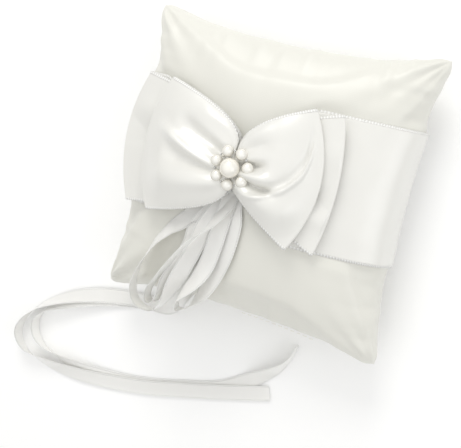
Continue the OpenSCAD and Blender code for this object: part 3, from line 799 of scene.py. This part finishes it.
# Each loop goes out from its root below the knot and comes back over itself.
LOOPS = {
    "streamer_loop_1": [
        (-8, -6, 1.9, 0), (-22, -20, 2.0, 5),
        (-34, -32, 3.4, 20), (-40, -38, 6, 45), (-47, -47, 8, 60), (-53, -58, 9, 70), (-58, -69, 9, 80),
        (-60, -79, EDGE + 0.72, 88), (-58, -87, EDGE + 0.66, 90), (-52, -91, EDGE + 0.63, 90),
        (-44, -90, EDGE + 0.64, 90), (-38, -82, EDGE + 0.72, 80),
        (-33, -70, 8, 45), (-27, -56, 5.8, 8), (-22, -43, 4.8, 0), (-19, -31, 4.8, 0), (-13, -18, 2.6, 0),
        (-9, -6, 2.2, 0)],
    "streamer_loop_2": [
        (-6, -6, 2.1, 0), (-8, -17, 4.5, 30),
        (-13, -28, 10.5, 60), (-20, -36, 11.5, 85), (-28, -46, 11.5, 90), (-36, -58, 11.5, 90),
        (-43, -69, 11.5, 90),
        (-47.5, -77, EDGE + 0.83, 90), (-48, -83, EDGE + 0.79, 90), (-44.5, -85, EDGE + 0.77, 90),
        (-40.5, -79, EDGE + 0.79, 80), (-37, -69, 8, 45),
        (-31, -56, 4.2, 8), (-26, -43, 3.5, 0), (-24, -32, 3.5, 0), (-16, -19, 2.2, 0), (-10, -6, 1.9, 0)],
    "streamer_loop_3": [
        (-5, -6, 2.0, 0), (-4, -16, 2.4, 0),
        (-2, -26, 3.4, 0), (-4, -43, 3.4, 2), (-8, -56, 3.4, 5), (-13, -68, 6, 25), (-18, -76, EDGE + 0.8, 60),
        (-22.5, -82, EDGE + 0.82, 88), (-27, -83, EDGE + 0.86, 94), (-28, -78, EDGE + 0.9, 105),
        (-24.5, -72, EDGE + 0.93, 125),
        (-19, -64, 9, 152), (-14, -54, 6.5, 175), (-11, -42, 5.6, 180), (-9, -28, 5.2, 180),
        (-8, -17, 3.4, 180), (-7, -6, 2.6, 180)],
}
# Both tails run over the front, fall past its edge and lie on the table. FALL's heights are shares of SEAM.
RUN = [(-7, -6, 1.6, 0), (-11, -18, 1.9, 0), (-15, -31, 2.2, 0), (-17, -43, 2.2, 0), (-20, -56, 2.3, 0),
       (-24, -68, 3.2, 0), (-30, -78, 5.1, 0)]
FALL = [(-37, -87, 1.34, 0), (-46, -94, 0.88, 0), (-56, -98.5, 0.42, 0), (-67, -101, 0.11, 0)]
OUTER_TAIL = [
    (-70, -101.5, 0, 1), (-84, -103, 5, 1), (-100, -106, 15, 1), (-117, -111, 30, 1), (-133, -118, 50, 0.5),
    (-148, -128, 75, 0), (-158, -140, 90, 0), (-160, -151, 90, 0), (-152, -161, 75, 0), (-136, -165, 45, 0.5),
    (-115, -166, 20, 1), (-90, -164, 5, 1), (-60, -159, 0, 1), (-30, -151, 0, 1), (-3, -143, 0, 1),
    (25, -134, 0, 1)]
INNER_TAIL = [
    (-70, -102, 0, 0), (-84, -104.5, 5, 0), (-100, -108.5, 15, 0), (-116, -114, 30, 0), (-131, -121, 50, 0),
    (-142, -128, 75, 0), (-148, -137, 90, 0), (-146, -147, 90, 0), (-136, -155, 72, 0), (-116, -160, 35, 0),
    (-91, -161, 8, 0), (-60, -157, 0, 0), (-30, -149, 0, 0), (-8, -141.5, 0, 0), (9, -131, 6, 0),
    (24, -119, 45, 0), (33, -108, 80, 0), (36, -98, 90, 0)]


def smooth_route(route, steps):
    """A Catmull-Rom curve through the route's points."""
    pts = np.array(route, float)
    last = len(pts) - 1
    out = []
    for i in range(last):
        p0, p1, p2, p3 = pts[max(i - 1, 0)], pts[i], pts[i + 1], pts[min(i + 2, last)]
        for k in range(steps):
            t = k / steps
            out.append(0.5 * (2 * p1 + (p2 - p0) * t + (2 * p0 - 5 * p1 + 4 * p2 - p3) * t * t
                              + (3 * p1 - p0 - 3 * p2 + p3) * t ** 3))
    out.append(pts[last])
    return np.array(out)


def ribbon_piece(name, route, sizes, seed, start=0, end=None):
    """A narrow ribbon along a route, slightly cupped across. start and end pick a stretch of its points."""
    path = smooth_route(route, ROUTE_STEPS)
    along = np.gradient(path[:, :3], axis=0)
    along /= np.linalg.norm(along, axis=1)[:, None]
    last = len(path) - 1 if end is None else end * ROUTE_STEPS
    first = start * ROUTE_STEPS
    part = path[first:last + 1]
    length = float(np.linalg.norm(np.diff(part[:, :3], axis=0), axis=1).sum())
    count = len(part) - 1

    def place(s, t):
        i = first + int(round(s * count))
        a = Vector(along[i])
        level = Vector((0, 0, 1)).cross(a).normalized()
        up = a.cross(level)
        tilt = math.radians(path[i][3])
        across = math.cos(tilt) * level + math.sin(tilt) * up
        face = a.cross(across)
        v = 2 * t - 1
        wave = WAVE * noise.noise(Vector((i * 0.13, v * 0.6, seed)))
        return Vector(path[i][:3]) + across * (v * RIBBON_W / 2) + face * (CUP * (v * v - 0.4) * 0.5 + wave)

    made = cloth_grid(name, count, 8, place, length, RIBBON_W,
                      finish_named("narrow", sizes), sizes.ribbon_thickness)
    crisp = made.modifiers.new("Crisp edges", "EDGE_SPLIT")
    crisp.split_angle = CRISP
    return made, length


class PILLOW_OT_streamers(bpy.types.Operator):
    """Lay the three loops of narrow ribbon that hang from under the bow"""
    bl_idname = "pillow.streamers"
    bl_label = "Streamer loops"

    def execute(self, context):
        sizes = context.scene.pillow
        for number, (name, points) in enumerate(LOOPS.items()):
            loop, length = ribbon_piece(f"{name}_ribbon", on_cushion(points, sizes), sizes, 1.7 * number)
            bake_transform(loop)
            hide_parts(name, "streamer_roots")
        return {"FINISHED"}


class PILLOW_OT_tails(bpy.types.Operator):
    """Lay the two long tails over the cushion's edge and round on the table"""
    bl_idname = "pillow.tails"
    bl_label = "Tails"

    def execute(self, context):
        sizes = context.scene.pillow
        fall = [(LAYOUT * x, LAYOUT * y, SEAM * part, tilt) for x, y, part, tilt in FALL]
        for word, tail, down in (("outer", OUTER_TAIL, 0.0), ("inner", INNER_TAIL, 1.0)):
            upper = [(x, y, z - down, tilt) for x, y, z, tilt in on_cushion(RUN, sizes) + fall]
            route = upper + on_table(tail)
            cut = len(upper) + 3
            run, run_length = ribbon_piece(f"{word}_tail_run_ribbon", route, sizes, 8.0 + down, end=cut)
            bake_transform(run)
            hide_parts(f"{word}_tail_run")
            rest, rest_length = ribbon_piece(f"{word}_tail_ribbon", route, sizes, 8.0 + down, start=cut)
            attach(rest, "tails")
            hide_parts(f"{word}_tail")
        return {"FINISHED"}


# ---- brooch ----
class PILLOW_OT_brooch(bpy.types.Operator):
    """Give the pearl brooch's pieces their finishes: a plated base, a wired ring of pearls and clear beads, and
    the middle pearl
    """
    bl_idname = "pillow.brooch"
    bl_label = "Brooch"

    def execute(self, context):
        sizes = context.scene.pillow
        for node, name in (("brooch_base", "silver"), ("bead_wire", "silver"), ("centre_pearl", "centre_pearl"),
                           ("ring_pearls", "ring_pearl"), ("seed_beads", "bead")):
            dress(node, name, sizes)
        return {"FINISHED"}


class PILLOW_OT_stitching(bpy.types.Operator):
    """Give the slip stitches, the running stitches and the tacking stitches their thread"""
    bl_idname = "pillow.stitching"
    bl_label = "Stitching"

    def execute(self, context):
        sizes = context.scene.pillow
        for node in ("closing_stitches", "overlap_stitches", "tacking_stitches"):
            dress(node, "thread", sizes)
        return {"FINISHED"}


# ---- stage ----
# Matt paper sweep: even and pale, so that only the soft shadow shows.
def paper():
    made, tree = new_material("matt_paper_sweep")
    place = add(tree, "ShaderNodeTexCoord").outputs["Object"]
    tooth = add(tree, "ShaderNodeTexNoise", {"Vector": place, "Scale": 900.0})
    bump = add(tree, "ShaderNodeBump", {"Height": tooth.outputs["Fac"], "Strength": 0.02, "Distance": 0.0002})
    shader = add(tree, "ShaderNodeBsdfPrincipled", {
        "Base Color": rgba(linear("#fefefe")), "Roughness": 0.9, "Normal": bump.outputs[0]})
    end_material(tree, shader)
    return made


class PILLOW_OT_stage(bpy.types.Operator):
    """Set the paper floor, the soft lights and the camera"""
    bl_idname = "pillow.stage"
    bl_label = "Stage"

    def execute(self, context):
        bm = bmesh.new()
        bmesh.ops.create_grid(bm, x_segments=1, y_segments=1, size=3.0)
        floor = to_object(bm, "floor", paper())
        for name, place, size, power, tint in (
                ("key_light", (-0.15, 0.95, 0.70), 0.50, 4.5, "#fffefb"),
                ("fill_light", (0.9, -0.1, 0.6), 0.6, 1.0, "#fbfdff")):
            lamp = bpy.data.lights.new(name, "AREA")
            lamp.size = size
            lamp.energy = power
            lamp.color = linear(tint)
            holder = bpy.data.objects.new(name, lamp)
            holder.location = place
            aim = Vector((0, 0, 0.03)) - Vector(place)
            holder.rotation_euler = aim.to_track_quat("-Z", "Y").to_euler()
            context.scene.collection.objects.link(holder)
        # a white room, brightest overhead, so that tilted cloth shades a little
        world = bpy.data.worlds.new("white_room")
        world.use_nodes = True
        tree = world.node_tree
        tree.nodes.clear()
        facing = add(tree, "ShaderNodeTexCoord").outputs["Object"]
        split = add(tree, "ShaderNodeSeparateXYZ", {"Vector": facing})
        bright = add(tree, "ShaderNodeMapRange", {
            "Value": split.outputs["Z"], "From Min": 0.0, "From Max": 1.0, "To Min": 0.50, "To Max": 1.07})
        room = add(tree, "ShaderNodeBackground", {
            "Color": rgba(linear("#fdfdfc")), "Strength": bright.outputs[0]})
        add(tree, "ShaderNodeOutputWorld", {"Surface": room.outputs[0]})
        context.scene.world = world
        context.scene.view_settings.view_transform = "Standard"
        camera = bpy.data.objects.new("camera", bpy.data.cameras.new("camera"))
        # above the cushion's right side, and turned so that the bow lies a little aslant
        camera.data.lens = 66.16
        camera.data.sensor_width = 36.0
        camera.data.clip_start = 0.01
        right, up, back = (0.9094, 0.2142, -0.3566), (-0.2583, 0.9627, -0.0803), (0.3261, 0.1651, 0.9308)
        turned = Matrix((right, up, back)).transposed().to_4x4()
        camera.matrix_world = Matrix.Translation((0.1498, 0.0526, 0.5004)) @ turned
        context.scene.collection.objects.link(camera)
        context.scene.camera = camera
        return {"FINISHED"}


# ---- add-on ----
OPERATORS = (PILLOW_OT_cushion, PILLOW_OT_wide_band, PILLOW_OT_bow, PILLOW_OT_streamers,
             PILLOW_OT_tails, PILLOW_OT_brooch, PILLOW_OT_stitching, PILLOW_OT_stage)


class PILLOW_PT_panel(bpy.types.Panel):
    """Buttons and sizes for the ring bearer pillow"""
    bl_idname = "PILLOW_PT_panel"
    bl_label = "Ring Bearer Pillow"
    bl_space_type = "VIEW_3D"
    bl_region_type = "UI"
    bl_category = "Pillow"

    def draw(self, context):
        sizes = context.scene.pillow
        column = self.layout.column(align=True)
        for name in PillowSizes.__annotations__:
            column.prop(sizes, name)
        for operator in OPERATORS:
            self.layout.operator(operator.bl_idname)


def register():
    for kind in (PillowSizes, *OPERATORS, PILLOW_PT_panel):
        bpy.utils.register_class(kind)
    bpy.types.Scene.pillow = PointerProperty(type=PillowSizes)


def unregister():
    del bpy.types.Scene.pillow
    for kind in (PILLOW_PT_panel, *reversed(OPERATORS), PillowSizes):
        bpy.utils.unregister_class(kind)


def main():
    register()
    for name in ("stage", "cushion", "wide_band", "bow", "streamers", "tails", "brooch", "stitching"):
        getattr(bpy.ops.pillow, name)()


if __name__ == "__main__":
    main()
